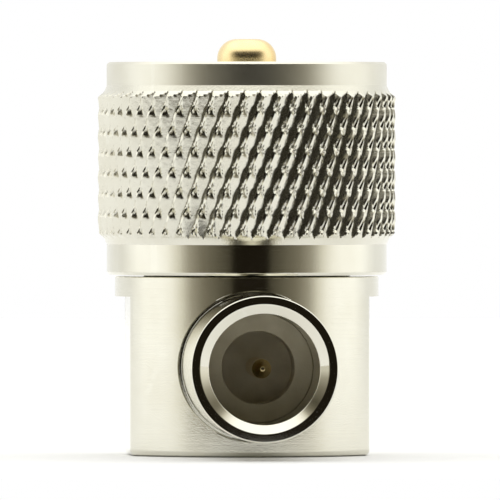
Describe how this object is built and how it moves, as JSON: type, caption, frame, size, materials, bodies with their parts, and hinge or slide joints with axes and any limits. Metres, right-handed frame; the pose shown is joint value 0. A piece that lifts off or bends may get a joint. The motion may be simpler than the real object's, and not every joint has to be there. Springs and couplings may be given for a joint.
{
  "type": "coax adapter",
  "caption": "Right-angle coax adapter: a knurled screw-on plug with a thick centre pin, turned through a short body into a plain push-on side barrel with a recessed thin contact pin.",
  "frame": {"origin": "middle of the flat bottom, on the plug's axis", "axes": "+Z along the plug's axis, out of the coupling nut; -Y along the side barrel, out of its mouth; +X to the right as seen from the barrel's side"},
  "size_m": [0.02, 0.0308, 0.0279],
  "materials": {
    "nickel_plate": "satin nickel plate on turned brass",
    "gold_plate": "gold plate",
    "spring_wire": "bare",
    "insulator": "matt white"
  },
  "bodies": {
    "adapter": {"elbow_body": "nickel_plate", "plug_insulator": "insulator", "plug_pin": "gold_plate", "side_barrel": "nickel_plate", "side_insulator": "insulator", "side_pin": "gold_plate", "end_cap": "nickel_plate"},
    "ring": {"retaining_ring": "spring_wire"},
    "nut": {"coupling_nut": "nickel_plate"}
  },
  "joints": [
    {"name": "nut_float", "type": "slide", "parent": "adapter", "child": "ring", "axis": [0, 0, 1], "range_m": [0, 0.0012]},
    {"name": "nut_turn", "type": "hinge", "parent": "ring", "child": "nut", "pos_m": [0, 0, 0.02], "axis": [0, 0, 1], "continuous": true}
  ]
}
